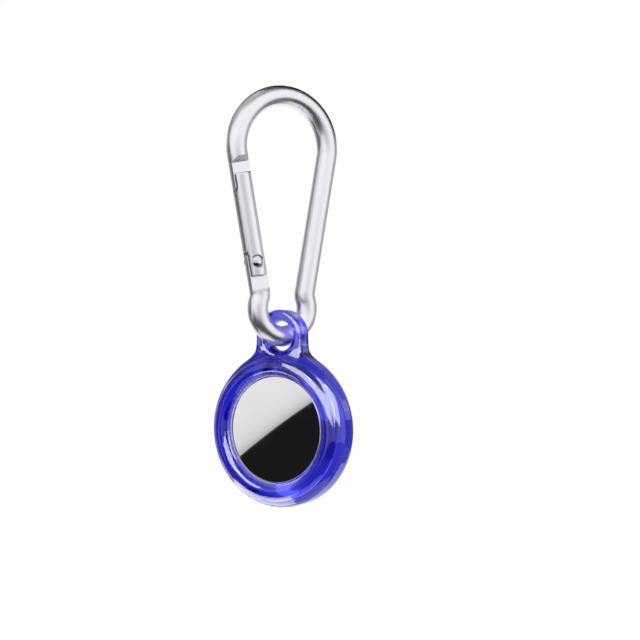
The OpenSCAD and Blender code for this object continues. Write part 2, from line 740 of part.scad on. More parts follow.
// The voice coil, which is bonded to the inside of the shell's dome
module voice_coil() {
    low_z = dome_fall * pow(coil_out_r / dome_r, 2) - tag_half + shell_wall + hair;
    top_z = cup_top_z - cup_base - coil_gap;
    color("peru") in_tag() tube(coil_in_r, coil_out_r, low_z, top_z - low_z);
}

carabiner_body();
carabiner_gate();
gate_rivet();
gate_plunger();
gate_spring();
tag_case();
tag_shell();
battery_cover();
cover_seal();
coin_cell();
battery_tray();
battery_contacts();
circuit_board();
board_chips();
radio_shield();
antenna_ring();
magnet_cup();
magnet_pad();
speaker_magnet();
voice_coil();
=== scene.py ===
"""Looks of the tracker tag holder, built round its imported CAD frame. The object's sizes are in
millimetres, most of them under part.scad's names, and the studio's are in metres."""
import json
import math

import bpy
import numpy as np
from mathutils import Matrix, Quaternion, Vector

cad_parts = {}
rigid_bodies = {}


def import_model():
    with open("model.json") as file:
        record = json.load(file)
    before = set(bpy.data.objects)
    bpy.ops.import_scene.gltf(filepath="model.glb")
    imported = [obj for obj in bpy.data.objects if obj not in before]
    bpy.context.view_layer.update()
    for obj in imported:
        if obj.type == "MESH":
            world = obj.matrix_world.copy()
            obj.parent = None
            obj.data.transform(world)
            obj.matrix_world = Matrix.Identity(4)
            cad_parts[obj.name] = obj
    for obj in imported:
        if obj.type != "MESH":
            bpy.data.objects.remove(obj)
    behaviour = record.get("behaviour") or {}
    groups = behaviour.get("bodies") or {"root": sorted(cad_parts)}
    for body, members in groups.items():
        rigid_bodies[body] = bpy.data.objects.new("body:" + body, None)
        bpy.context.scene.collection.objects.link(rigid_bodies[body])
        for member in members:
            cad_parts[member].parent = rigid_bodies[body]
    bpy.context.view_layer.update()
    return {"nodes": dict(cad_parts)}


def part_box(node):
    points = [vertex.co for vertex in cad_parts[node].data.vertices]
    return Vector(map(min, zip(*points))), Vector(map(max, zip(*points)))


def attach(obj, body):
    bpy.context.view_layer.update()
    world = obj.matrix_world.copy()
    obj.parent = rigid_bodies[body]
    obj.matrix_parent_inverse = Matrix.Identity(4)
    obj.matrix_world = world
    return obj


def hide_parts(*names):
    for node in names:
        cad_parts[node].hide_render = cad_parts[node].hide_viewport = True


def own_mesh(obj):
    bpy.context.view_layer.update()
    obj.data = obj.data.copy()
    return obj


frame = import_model()
nodes = frame["nodes"]
MM = 0.001
HAIR = 0.02

# Bent rod
ROD_R = 2.5
LOOP_R = 12.5
LOOP_DROP = 39.0
FOOT_R = 6.75
LEG_IN = 1.36
NECK_R = 3.5
LEG_GAP = FOOT_R - LEG_IN
LEAN = math.asin((LOOP_R - LEG_GAP) / LOOP_DROP)
BEND_A = math.acos((LEG_GAP + NECK_R) / (FOOT_R + NECK_R))
FOOT_A = BEND_A - LEAN
BEND_RUN = math.sqrt((FOOT_R + NECK_R) ** 2 - (LEG_GAP + NECK_R) ** 2)
LEG_LEN = LOOP_DROP * math.cos(LEAN) - BEND_RUN
LOOP_Z = ROD_R - LOOP_R

# Nose, gate and hinge tongue, along the gate's leg
TOP_STUB = 1.75
FOOT_STUB = 0.64
NOSE_BARE = 2.5
HINGE_BARE = 3.1
NOSE_RAMP = 1.5
HINGE_RAMP = 0.6
CHEEK_T = 1.2
SLOT_FIT = 0.4
NOSE_SLOT = 4.6
NOSE_WALL = 1.1
NOSE_GAP = 0.15
END_GAP = 0.4
SLOT_ROOM = 0.85
RIVET_UP = 3.65
RIVET_OUT = 0.4
RIVET_R = 0.8
HEAD_SUNK = 0.55
SEAT_R = 1.5
TONGUE_UP = 1.75
TONGUE_TOP_W = 3.0
SLOT_W = 2 * (ROD_R - CHEEK_T)
TONGUE_T = SLOT_W - 2 * SLOT_FIT
GATE_TOP = TOP_STUB + NOSE_BARE
GATE_END = LEG_LEN - FOOT_STUB - HINGE_BARE
NOSE_FLOOR = GATE_TOP + NOSE_SLOT
NOSE_TIP = NOSE_FLOOR - END_GAP
RIVET_S = GATE_END - RIVET_UP
TONGUE_TOP = RIVET_S - TONGUE_UP
HEAD_SEAT = ROD_R - HEAD_SUNK
NOSE_FLAT = NOSE_TIP - TOP_STUB
HINGE_FLAT = GATE_END + HINGE_BARE - TONGUE_TOP

# Plunger's bore and the closing spring
BORE_WALL = 1.0
BORE_WEB = 1.6
CAM_GAP = 0.1
PLUNGER_LEN = 3.0
PLUNGER_TRAVEL = 0.62
SPRING_FIT = 0.2
SPRING_SEAT = 0.05
SPRING_TURNS = 9
WIRE_R = 0.175
BORE_R = ROD_R - BORE_WALL
SPRING_R = BORE_R - SPRING_FIT - WIRE_R
SPRING_TOP = NOSE_FLOOR + BORE_WEB + SPRING_SEAT
SPRING_LOW = TONGUE_TOP - CAM_GAP - PLUNGER_LEN - SPRING_SEAT

# Tag, whose levels are from its middle
WALL_IN_R = 10.35
SKIRT_IN_R = 11.7
COVER_T = 0.35
COVER_EDGE = 0.75
COVER_FIT = 0.2
COVER_FALL = 0.5
SKIRT_LEN = 1.5
LUG_OUT = 0.6
LUG_T = 0.4
LUG_ARC = 16
LUG_GAP = 0.15
CATCH_IN = 0.55
CATCH_T = 0.4
CATCH_ARC = 24
FRONT_LIP = 0.35
FRONT_ROUND = 2.6
BACK_ROUND = 3.35
FRONT_HIGH = 3.0
BACK_HIGH = 3.401
DOME_FALL = 0.9
RIM_UP = 0.3
SHELL_WALL = 0.9
CELL_GAP = 0.8
CELL_STAND = 0.55
CONTACT_GAP = 0.05
TAG_HALF = 4.00117
SKIRT_R = SKIRT_IN_R + COVER_T
LUG_R = SKIRT_R + LUG_OUT
COVER_R = SKIRT_R + COVER_EDGE
OPENING_R = COVER_R + COVER_FIT
FRONT_R = OPENING_R + FRONT_LIP
TAG_R = FRONT_R + FRONT_ROUND
DOME_R = TAG_R - BACK_ROUND
SKIRT_LOW = TAG_HALF - COVER_FALL - COVER_T - SKIRT_LEN

# Case and eyelet
CASE_TURN = math.radians(-62)
TAG_SHIFT = 0.4
TAG_FIT = 0.1
CASE_WALL = 2.75
SHOULDER_UP = 0.2
LIP_UP = 1.0
LIP_IN = 0.45
LIP_FLAT = 0.3
WINDOW_GAP = 0.35
HOLE_FIT = 1.0
EYELET_WALL = 2.85
EYELET_HALF = 2.4
EYELET_EDGE = 1.0
EYELET_FLAT = 0.1
EYELET_FILLET = 5.0
EYELET_UP = 3.75
HANG_LIFT = 0.1
CASE_R = TAG_R + TAG_FIT + CASE_WALL
CASE_HALF = TAG_HALF + SHOULDER_UP
LIP_Z = CASE_HALF + LIP_UP
LIP_R = TAG_R - LIP_IN
SHOULDER_R = CASE_R - LIP_R - LIP_FLAT
WINDOW_R = COVER_R + WINDOW_GAP
HOLE_R = ROD_R + HOLE_FIT
HOLE_FLARE = EYELET_WALL - EYELET_EDGE - EYELET_FLAT
EYELET_R = HOLE_R + EYELET_WALL
EYELET_Y = CASE_R + EYELET_UP
CASE_Z = LOOP_Z - LOOP_DROP - FOOT_R + HANG_LIFT - EYELET_Y


# Pieces and their places
def make_piece(name, points, faces, body, slot, material, replaces):
    """Turns points, in millimetres, and faces into a smooth piece that rides on a body."""
    sizes = np.array([len(face) for face in faces])
    corners = np.concatenate([np.asarray(face) for face in faces])
    starts = np.concatenate([[0], np.cumsum(sizes)[:-1]])
    mesh = bpy.data.meshes.new(name)
    mesh.vertices.add(len(points))
    mesh.vertices.foreach_set("co", (np.asarray(points, float) * MM).ravel())
    mesh.loops.add(len(corners))
    mesh.loops.foreach_set("vertex_index", corners.astype(np.int32))
    mesh.polygons.add(len(sizes))
    mesh.polygons.foreach_set("loop_start", starts.astype(np.int32))
    mesh.polygons.foreach_set("loop_total", sizes.astype(np.int32))
    mesh.polygons.foreach_set("use_smooth", np.ones(len(sizes), bool))
    mesh.update(calc_edges=True)
    mesh.validate()
    piece = bpy.data.objects.new(name, mesh)
    bpy.context.scene.collection.objects.link(piece)
    mesh.materials.append(material)
    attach(piece, body)
    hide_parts(*replaces)
    return piece


def on_gate_leg(p):
    """Gate leg's frame to the model's: x out of the loop, z up the leg, both turned by the lean."""
    x, y, z = p[..., 0], p[..., 1], p[..., 2]
    c, s = math.cos(LEAN), math.sin(LEAN)
    return np.stack([-(LOOP_R * c + x * c + z * s), y, LOOP_Z - LOOP_R * s - x * s + z * c], -1)


def in_case(p):
    """Case's frame to the model's: z out of its front, y up to the eyelet."""
    x, y, z = p[..., 0], p[..., 1], p[..., 2]
    c, s = math.cos(CASE_TURN), math.sin(CASE_TURN)
    return np.stack([x * c + z * s, x * s - z * c, y + CASE_Z], -1)


def in_tag(p):
    """Tag's frame to the model's: the case's, moved back by the tag's shift."""
    return in_case(p - np.array([0, 0, TAG_SHIFT]))


# Swept and turned skins
def grid_faces(rows, columns):
    """Quads of a grid of rows that closes on itself along its columns."""
    i, j = np.meshgrid(np.arange(rows - 1), np.arange(columns), indexing="ij")
    n = (j + 1) % columns
    corners = [i * columns + j, i * columns + n, (i + 1) * columns + n, (i + 1) * columns + j]
    return np.stack(corners, -1).reshape(-1, 4)


def swept(rings):
    """A closed skin over rings of points: quads between rings, and a fan from each end's middle."""
    rows, columns, _ = rings.shape
    points = np.concatenate([rings.reshape(-1, 3), rings[:1].mean(1), rings[-1:].mean(1)])
    j = np.arange(columns)
    n = (j + 1) % columns
    end = (rows - 1) * columns
    first = np.stack([np.full(columns, rows * columns), n, j], -1)
    last = np.stack([np.full(columns, rows * columns + 1), end + j, end + n], -1)
    return points, [*grid_faces(rows, columns), *first, *last]


def turned(profile, place, steps=192):
    """A profile of (radius, height) points carried round the z axis. It closes on itself, or both its
    ends lie on the axis."""
    profile = np.asarray(profile, float)
    on_axis = profile[0, 0] == 0
    body = profile[1:-1] if on_axis else profile
    a = 2 * np.pi * np.arange(steps) / steps
    rings = np.stack([body[:, None, 0] * np.cos(a), body[:, None, 0] * np.sin(a),
                      np.repeat(body[:, 1:2], steps, 1)], -1)
    if not on_axis:
        rows = len(rings)
        return place(rings.reshape(-1, 3)), grid_faces(rows + 1, steps) % (rows * steps)
    points, faces = swept(rings)
    points[-2] = [0, 0, profile[0, 1]]
    points[-1] = [0, 0, profile[-1, 1]]
    return place(points), faces


def arc(cx, cy, rx, ry, a1, a2, steps):
    """Points on an ellipse's arc, by its two half widths and two angles in degrees."""
    a = np.radians(np.linspace(a1, a2, steps + 1))
    return np.stack([cx + rx * np.cos(a), cy + ry * np.sin(a)], -1)


def sector(r1, r2, z1, z2, middle, span, place):
    """A block bent round the z axis: the rectangle r1 to r2 by z1 to z2 carried through an arc."""
    a = np.radians(np.linspace(middle - span / 2, middle + span / 2, 13))[:, None]
    r = np.array([r1, r1, r2, r2])[None, :]
    z = np.array([z1, z2, z2, z1])[None, :]
    points, faces = swept(np.stack([r * np.cos(a), r * np.sin(a), z + 0 * a], -1))
    return place(points), faces


def joined(parts):
    """Several closed skins as the islands of one mesh."""
    points, faces, start = [], [], 0
    for part_points, part_faces in parts:
        points.append(part_points)
        faces += [np.asarray(face) + start for face in part_faces]
        start += len(part_points)
    return np.concatenate(points), faces


# Skins of distance functions
def edge_crossings(f, grid):
    """For each cell of a grid, the sum and the number of the places where its edges cross the skin."""
    shape = np.array(f.shape) - 1
    total = np.zeros((*shape, 3))
    hits = np.zeros(shape)
    for axis in range(3):
        others = [a for a in range(3) if a != axis]
        for shift in ((0, 0), (0, 1), (1, 0), (1, 1)):
            start = [slice(None)] * 3
            end = [slice(None)] * 3
            start[axis], end[axis] = slice(0, -1), slice(1, None)
            for a, d in zip(others, shift):
                start[a] = end[a] = slice(d, shape[a] + d)
            start, end = tuple(start), tuple(end)
            cut = (f[start] < 0) != (f[end] < 0)
            t = np.where(cut, f[start] / np.where(cut, f[start] - f[end], 1), 0)
            place = grid[start] + t[..., None] * (grid[end] - grid[start])
            total += np.where(cut[..., None], place, 0)
            hits += cut
    return total, hits


def crossing_quads(inside, index):
    """A quad for each edge of the grid that crosses the skin, over the four cells round that edge."""
    faces = []
    for axis in range(3):
        u, v = (axis + 1) % 3, (axis + 2) % 3
        start = [slice(1, -1)] * 3
        end = [slice(1, -1)] * 3
        start[axis], end[axis] = slice(0, -1), slice(1, None)
        from_inside, to_inside = inside[tuple(start)], inside[tuple(end)]
        crosses = from_inside != to_inside
        where = np.argwhere(crosses)
        where[:, u] += 1
        where[:, v] += 1
        corners = []
        for du, dv in ((-1, -1), (0, -1), (0, 0), (-1, 0)):
            cell = where.copy()
            cell[:, u] += du
            cell[:, v] += dv
            corners.append(index[cell[:, 0], cell[:, 1], cell[:, 2]])
        quad = np.stack(corners, -1)
        inward = ~from_inside[crosses]
        quad[inward] = quad[inward][:, ::-1]
        faces.append(quad)
    return np.concatenate(faces)


def slid_on(points, distance, step):
    """Points near a skin, slid along the distance function's gradient on to it."""
    h = step * 0.05
    for _ in range(5):
        slope = np.stack([(distance(points + h * e) - distance(points - h * e)) / (2 * h)
                          for e in np.eye(3)], -1)
        steepness = np.maximum((slope ** 2).sum(-1), 0.2)
        move = -distance(points)[:, None] * slope / steepness[:, None]
        points = points + np.clip(move, -step / 2, step / 2)
    return points


def skin_of(distance, low, high, step):
    """The skin where a distance function is 0: one point in each cell of a grid that the skin crosses,
    at the mean of its crossings of the cell's edges, then slid on to the skin. No plane of the grid
    may lie on the skin's extremes."""
    axes = [np.arange(a, b + step, step) for a, b in zip(low, high)]
    grid = np.stack(np.meshgrid(*axes, indexing="ij"), -1)
    f = distance(grid)
    total, hits = edge_crossings(f, grid)
    active = hits > 0
    index = np.full(hits.shape, -1)
    index[active] = np.arange(active.sum())
    points = total[active] / hits[active][:, None]
    return slid_on(points, distance, step), crossing_quads(f < 0, index)


def blend_min(a, b, k):
    """The lesser of two distances, rounded over a width k."""
    h = np.maximum(k - np.abs(a - b), 0) / k
    return np.minimum(a, b) - h * h * k / 4


def blend_max(a, b, k):
    """The greater of two distances, rounded over a width k."""
    return -blend_min(-a, -b, k)


def eased(t):
    """0 to 1 as t goes from 0 to 1, with no kink at either end."""
    t = np.clip(t, 0, 1)
    return t * t * (3 - 2 * t)


def box_distance(dp, dq, r):
    """Distance to a rectangle with corners of radius r, from the signed distances to two of its sides."""
    dp, dq = dp + r, dq + r
    return np.hypot(np.maximum(dp, 0), np.maximum(dq, 0)) + np.minimum(np.maximum(dp, dq), 0) - r


# Materials
class Value:
    """One output of a node tree; arithmetic on it adds Math nodes."""

    def __init__(self, tree, socket):
        self.tree, self.socket = tree, socket

    def __add__(self, other):
        return self.tree.maths("ADD", self, other)

    def __rsub__(self, other):
        return self.tree.maths("SUBTRACT", other, self)

    def __mul__(self, other):
        return self.tree.maths("MULTIPLY", self, other)

    def __truediv__(self, other):
        return self.tree.maths("DIVIDE", self, other)

    __radd__, __rmul__ = __add__, __mul__


class NodeTree:
    """A node tree, with short calls that add nodes to it."""

    def __init__(self, tree, output):
        self.tree = tree
        self.tree.nodes.clear()
        self.out = self.tree.nodes.new(output)

    def feed(self, node, key, value):
        """Sets a socket to a value, or links a value to it."""
        socket = node.inputs[key]
        if isinstance(value, Value):
            self.tree.links.new(value.socket, socket)
        elif isinstance(value, (tuple, list)) and len(value) == 3 and socket.type == "RGBA":
            socket.default_value = (*value, 1)
        else:
            socket.default_value = value

    def node(self, kind, settings=None, output=0, **inputs):
        """Adds a node: settings first, then the values or links of its sockets, by name or as i and
        the socket's number."""
        made = self.tree.nodes.new("ShaderNode" + kind)
        for key, value in (settings or {}).items():
            setattr(made, key, value)
        for key, value in inputs.items():
            numbered = key[0] == "i" and key[1:].isdigit()
            self.feed(made, int(key[1:]) if numbered else key.replace("_", " "), value)
        return Value(self, made.outputs[output])

    def maths(self, operation, a, b=0.0, clamp=False):
        """Adds a Math node."""
        return self.node("Math", {"operation": operation, "use_clamp": clamp}, i0=a, i1=b)

    def ray(self, kind):
        """1 where the ray that arrives is of a kind, and otherwise 0."""
        return self.node("LightPath", output=f"Is {kind} Ray")

    def seen_rays(self):
        """1 for the rays that see a surface: the camera's, and those in reflections and through glass."""
        seen = self.maths("ADD", self.ray("Camera"), self.ray("Glossy"))
        return self.maths("ADD", seen, self.ray("Transmission"), True)

    def surface(self, value):
        """Ends the tree in a value."""
        self.feed(self.out, "Surface", value)


class Paint(NodeTree):
    """A material's node tree, with one Principled shader."""

    def __init__(self, name, **shader):
        self.material = bpy.data.materials.new(name)
        self.material.use_nodes = True
        super().__init__(self.material.node_tree, "ShaderNodeOutputMaterial")
        self.shader = self.tree.nodes.new("ShaderNodeBsdfPrincipled")
        self.shaded = Value(self, self.shader.outputs[0])
        self.surface(self.shaded)
        self.use(**shader)

    def use(self, **inputs):
        """Sets or links sockets of the shader."""
        for key, value in inputs.items():
            self.feed(self.shader, key.replace("_", " "), value)

    def place(self):
        """The place on the object, in its own coordinates."""
        return self.node("TexCoord", output="Object")

    def noise(self, scale, detail=2.0):
        """A noise between 0 and 1, with scale in features to a metre."""
        return self.node("TexNoise", Vector=self.place(), Scale=scale, Detail=detail, Roughness=0.55)

    def mix(self, mask, a, b):
        """Colour a where the mask is 0 and b where it is 1."""
        return self.node("Mix", {"data_type": "RGBA"}, output=2, i0=mask, i6=a, i7=b)

    def bump(self, height, distance, strength):
        """Gives the surface a relief."""
        self.use(Normal=self.node("Bump", Strength=strength, Distance=distance, Height=height))


def blasted_aluminium():
    """Bare aluminium with a faint change of tone and a fine blasted grain."""
    paint = Paint("Blasted aluminium", Metallic=1.0)
    tone = paint.noise(260, 3)
    grain = paint.noise(5200)
    paint.use(Base_Color=paint.mix(tone, (0.86, 0.857, 0.90), (0.91, 0.907, 0.95)),
              Roughness=0.26 + 0.05 * tone + 0.04 * grain)
    paint.bump(grain, 0.00002, 0.35)
    return paint.material


def polished_steel(name, dark, light, rough, cloud_scale):
    """Polished sheet with a faint cloud in its shine."""
    paint = Paint(name, Metallic=1.0)
    cloud = paint.noise(cloud_scale, 3)
    paint.use(Base_Color=paint.mix(cloud, dark, light), Roughness=rough + 0.03 * cloud)
    return paint.material


def metal(name, dark, light, rough, cloud_scale):
    """A plain metal finish: mottled tone, worn shine and a fine grain."""
    paint = Paint(name, Metallic=1.0)
    cloud = paint.noise(cloud_scale, 3)
    grain = paint.noise(1800)
    paint.use(Base_Color=paint.mix(cloud, dark, light), Roughness=rough + 0.1 * cloud)
    paint.bump(grain, 0.00001, 0.4)
    return paint.material


def moulded(name, dark, light, rough, cloud_scale=400.0, coat=0.0):
    """A moulded plastic or rubber: even tone with a faint cloud and a fine skin."""
    paint = Paint(name, Coat_Weight=coat, Coat_Roughness=0.06)
    cloud = paint.noise(cloud_scale)
    grain = paint.noise(3000)
    paint.use(Base_Color=paint.mix(cloud, dark, light), Roughness=rough + 0.06 * cloud)
    paint.bump(grain, 0.00001, 0.25)
    return paint.material


def see_through_blue():
    """Soft see-through blue: a clear surface, and a depth colour that takes red and green over a few
    millimetres, with a faint painted blue glow on its surface. It casts a thin blue shadow."""
    # painted glow: a faint blue emission on the case's surface, though the case is no lamp
    paint = Paint("See-through blue", Transmission_Weight=1.0, IOR=1.47,
                  Coat_Weight=0.35, Coat_Roughness=0.03, Coat_IOR=1.6,
                  Emission_Color=(0.06, 0.055, 1.0), Emission_Strength=0.02)
    cloud = paint.noise(180)
    paint.use(Base_Color=paint.mix(cloud, (0.64, 0.64, 0.72), (0.70, 0.70, 0.74)),
              Roughness=0.045 + 0.03 * cloud)
    paint.feed(paint.out, "Volume", paint.node("VolumeAbsorption", Color=(0.13, 0.11, 0.865), Density=470.0))
    light_ray = paint.maths("ADD", paint.ray("Shadow"), paint.ray("Diffuse"), True)
    thin = paint.node("BsdfTransparent", Color=(0.26, 0.24, 0.72))
    paint.surface(paint.node("MixShader", Fac=light_ray, i1=paint.shaded, i2=thin))
    return paint.material


aluminium = blasted_aluminium()
rivet_finish = polished_steel("Rivet steel", (0.70, 0.70, 0.72), (0.80, 0.80, 0.82), 0.14, 900)
cover_finish = polished_steel("Cover steel", (0.74, 0.735, 0.745), (0.79, 0.785, 0.79), 0.02, 120)
blue = see_through_blue()
white = moulded("White shell", (0.80, 0.80, 0.80), (0.86, 0.86, 0.855), 0.16, coat=0.4)
spring_finish = metal("Spring wire", (0.42, 0.42, 0.43), (0.56, 0.56, 0.57), 0.25, 900)
rubber = moulded("Seal rubber", (0.035, 0.035, 0.037), (0.055, 0.055, 0.057), 0.55)
pad_finish = moulded("Pad rubber", (0.06, 0.065, 0.07), (0.10, 0.105, 0.11), 0.6)
plain_finishes = {
    "coin_cell": metal("Plated cell can", (0.58, 0.58, 0.58), (0.70, 0.70, 0.70), 0.22, 500),
    "battery_tray": moulded("Tray plastic", (0.70, 0.70, 0.67), (0.78, 0.78, 0.75), 0.4),
    "battery_contacts": metal("Gold plating", (0.70, 0.48, 0.18), (0.82, 0.60, 0.26), 0.2, 900),
    "circuit_board": moulded("Board green", (0.015, 0.10, 0.04), (0.03, 0.16, 0.07), 0.32, 1500),
    "board_chips": moulded("Chip black", (0.02, 0.02, 0.022), (0.04, 0.04, 0.042), 0.42, 2500),
    "radio_shield": metal("Tinned can", (0.55, 0.55, 0.56), (0.68, 0.68, 0.69), 0.28, 1200),
    "antenna_ring": moulded("Antenna plastic", (0.55, 0.47, 0.32), (0.66, 0.58, 0.42), 0.4),
    "magnet_cup": metal("Cup steel", (0.30, 0.31, 0.33), (0.42, 0.43, 0.45), 0.28, 700),
    "speaker_magnet": metal("Magnet plating", (0.25, 0.25, 0.27), (0.36, 0.36, 0.38), 0.24, 700),
    "voice_coil": metal("Enamelled copper", (0.50, 0.24, 0.10), (0.66, 0.34, 0.16), 0.26, 2600),
    "gate_plunger": metal("Turned brass", (0.26, 0.22, 0.15), (0.36, 0.31, 0.21), 0.30, 700),
}
for node_name, finish in plain_finishes.items():
    cad_mesh = nodes[node_name].data
    cad_mesh.materials.clear()
    cad_mesh.materials.append(finish)


# Carabiner
ROD_RUNS = ((NOSE_TIP, 0.0), (LOOP_R, math.pi + 2 * LEAN), (LEG_LEN, 0.0), (-NECK_R, BEND_A),
            (FOOT_R, math.pi + 2 * FOOT_A), (-NECK_R, BEND_A), (LEG_LEN - TONGUE_TOP, 0.0))
NOSE_RUN = 0
HINGE_RUN = len(ROD_RUNS) - 1


def either_side(place, gap):
    """A place along the rod, and one close by on each side of it."""
    return [place - gap, place, place + gap]


def ring_places(run, length):
    """Distances along a run at which the rod has a ring, with close ones where a flat or a step ends."""
    step = 0.12 if run in (NOSE_RUN, HINGE_RUN) else 0.35
    t = np.linspace(0, length, max(2, int(length / step) + 1))
    if run == NOSE_RUN:
        round_end = np.linspace(0, TONGUE_T / 2, 14)
        ramp_end = NOSE_FLAT + NOSE_RAMP
        t = np.sort([*t, *round_end, *either_side(NOSE_SLOT, 0.02), *either_side(NOSE_FLAT, 0.03),
                     ramp_end - 0.03, ramp_end])
    if run == HINGE_RUN:
        flat_end = length - HINGE_FLAT
        return np.sort([*t, *either_side(flat_end - HINGE_RAMP, 0.03), *either_side(flat_end, 0.03)])
    return t[:-1]


def rod_course():
    """The rod's centreline from the nose's tip to the hinge tongue's top. Each run is a straight by its
    length, or an arc by its radius and turn. Gives each ring's centre, heading and distance, and the
    whole length."""
    here = np.array([-(LOOP_R * math.cos(LEAN) - NOSE_TIP * math.sin(LEAN)),
                     LOOP_Z - LOOP_R * math.sin(LEAN) - NOSE_TIP * math.cos(LEAN)])
    heading = -LEAN
    start = 0.0
    centres, headings, along = [], [], []
    for run, (size, turn) in enumerate(ROD_RUNS):
        length = abs(size) * turn if turn else size
        t = ring_places(run, length)
        if turn:
            a = heading + t / size
            end = heading + length / size
            c = here + size * np.stack([math.cos(heading) - np.cos(a), np.sin(a) - math.sin(heading)], -1)
            here = here + size * np.array([math.cos(heading) - math.cos(end),
                                           math.sin(end) - math.sin(heading)])
            heading = end
        else:
            ahead = np.array([math.sin(heading), math.cos(heading)])
            a = np.full(len(t), heading)
            c = here + t[:, None] * ahead
            here = here + length * ahead
        centres.append(c)
        headings.append(a)
        along.append(start + t)
        start += length
    return np.concatenate(centres), np.concatenate(headings), np.concatenate(along), start


def rod_limits(s, left):
    """How the section is clipped, by the distances from the nose's tip and from the tongue's top: its
    half thickness, and the least and the greatest x, which points out of the loop."""
    clear = 9.0
    least_tip = 0.02
    half = TONGUE_T / 2
    half_top = TONGUE_TOP_W / 2
    tip = np.sqrt(np.maximum(half ** 2 - np.maximum(half - s, 0) ** 2, least_tip ** 2))
    up = half + (ROD_R - half) * np.clip((s - NOSE_FLAT) / NOSE_RAMP, 0, 1)
    down = half + (ROD_R - half) * np.clip((left - HINGE_FLAT) / HINGE_RAMP, 0, 1)
    h = np.minimum(np.where(s < half, tip, up), down)
    low_slope = (2 * ROD_R + RIVET_OUT - half_top) / (3 * TONGUE_UP)
    high_slope = (2 * ROD_R - RIVET_OUT - half_top) / (2 * TONGUE_UP)
    x_low = np.where(s < NOSE_SLOT, NOSE_GAP + NOSE_WALL - ROD_R, -clear)
    x_low = np.maximum(x_low, np.where(left < clear, RIVET_OUT - half_top - left * low_slope, -clear))
    x_high = np.where(left < clear, RIVET_OUT + half_top + left * high_slope, clear)
    return h, x_low, x_high


def section_angles(h):
    """Angles of a ring's points, with a point where the round meets each flat."""
    corner = np.minimum(np.arcsin(np.minimum(h / ROD_R, 1)), math.radians(62))[:, None]
    q = np.linspace(0, 1, 15)[None, :]
    quarter = np.concatenate([corner * q, corner + (math.pi / 2 - corner) * q[:, 1:]], 1)
    return np.concatenate([quarter, (math.pi - quarter)[:, -2::-1], (math.pi + quarter)[:, 1:],
                           (2 * math.pi - quarter)[:, -2:0:-1]], 1)


def bent_rod():
    """The rod: a round section carried along its course, and clipped near its ends."""
    centre, heading, along, total = rod_course()
    h, x_low, x_high = rod_limits(along, total - along)
    angle = section_angles(h)
    x, y = ROD_R * np.cos(angle), ROD_R * np.sin(angle)
    limit = h[:, None]
    y = np.where(limit < ROD_R, np.sign(y) * blend_min(np.abs(y), limit, 0.12), y)
    x = np.clip(x, x_low[:, None], x_high[:, None])
    out = np.stack([-np.cos(heading), np.sin(heading)], -1)
    place = centre[:, None, :] + x[..., None] * out[:, None, :]
    return swept(np.stack([place[..., 0], y, place[..., 1]], -1)[:, ::-1])


def gate_distance(p):
    """The gate in its leg's frame: a round bar with eased ends, less the nose slot, the hinge slot, the
    bore and the rivet's counterbored holes. Each cut is the greater of two distances, rounded at its
    edges."""
    x, y, z = p[..., 0], p[..., 1], p[..., 2]
    r = np.hypot(x, y)
    ends = np.abs(z + (GATE_TOP + GATE_END) / 2) - (GATE_END - GATE_TOP) / 2
    solid = blend_max(r - ROD_R, ends, 0.5)
    slot = np.hypot(y, np.minimum(z + NOSE_FLOOR - SLOT_W / 2, 0)) - SLOT_W / 2
    slot = np.maximum(slot, NOSE_WALL - ROD_R - x)
    hinge = np.maximum(np.abs(y) - SLOT_W / 2, z + TONGUE_TOP - SLOT_ROOM)
    bore = np.maximum(r - BORE_R, z + NOSE_FLOOR + BORE_WEB)
    pin = np.hypot(x - RIVET_OUT, z + RIVET_S)
    holes = np.minimum(pin - RIVET_R - HAIR, np.maximum(pin - SEAT_R, HEAD_SEAT - np.abs(y)))
    for cut, rounding in ((slot, 0.16), (hinge, 0.16), (bore, 0.1), (holes, 0.1)):
        solid = blend_max(solid, -cut, rounding)
    return solid


def gate_bar():
    """The gate's skin."""
    low = (-2.83, -2.83, -GATE_END - 0.37)
    high = (2.8, 2.8, -GATE_TOP + 0.4)
    points, faces = skin_of(gate_distance, low, high, 0.15)
    return on_gate_leg(points), faces[:, ::-1]


def in_rivet(p):
    """Rivet's frame to the model's: its axis runs along y, across the gate."""
    return on_gate_leg(np.stack([p[..., 0] + RIVET_OUT, -p[..., 2], p[..., 1] - RIVET_S], -1))


def rivet():
    """A shank between two domed heads, each a short wall, a rounded edge and a cap of a sphere."""
    seat = HEAD_SEAT + HAIR
    rise, ball, edge_in, edge_up, edge_round = 0.8, 2.35, 1.279, 0.277, 0.12
    wall_r = edge_in + edge_round
    cap = arc(0, seat + rise - ball, ball, ball, 90, 55, 14)
    edge = arc(edge_in, seat + edge_up, edge_round, edge_round, 55, 0, 6)
    foot = [[wall_r, seat + 0.06], [wall_r - 0.059, seat], [RIVET_R, seat]]
    top = np.concatenate([cap, edge[1:], foot])
    profile = np.concatenate([top, (top * [1, -1])[::-1]])[::-1]
    points, faces = turned(profile, in_rivet, 64)
    return points, [np.asarray(face)[::-1] for face in faces]


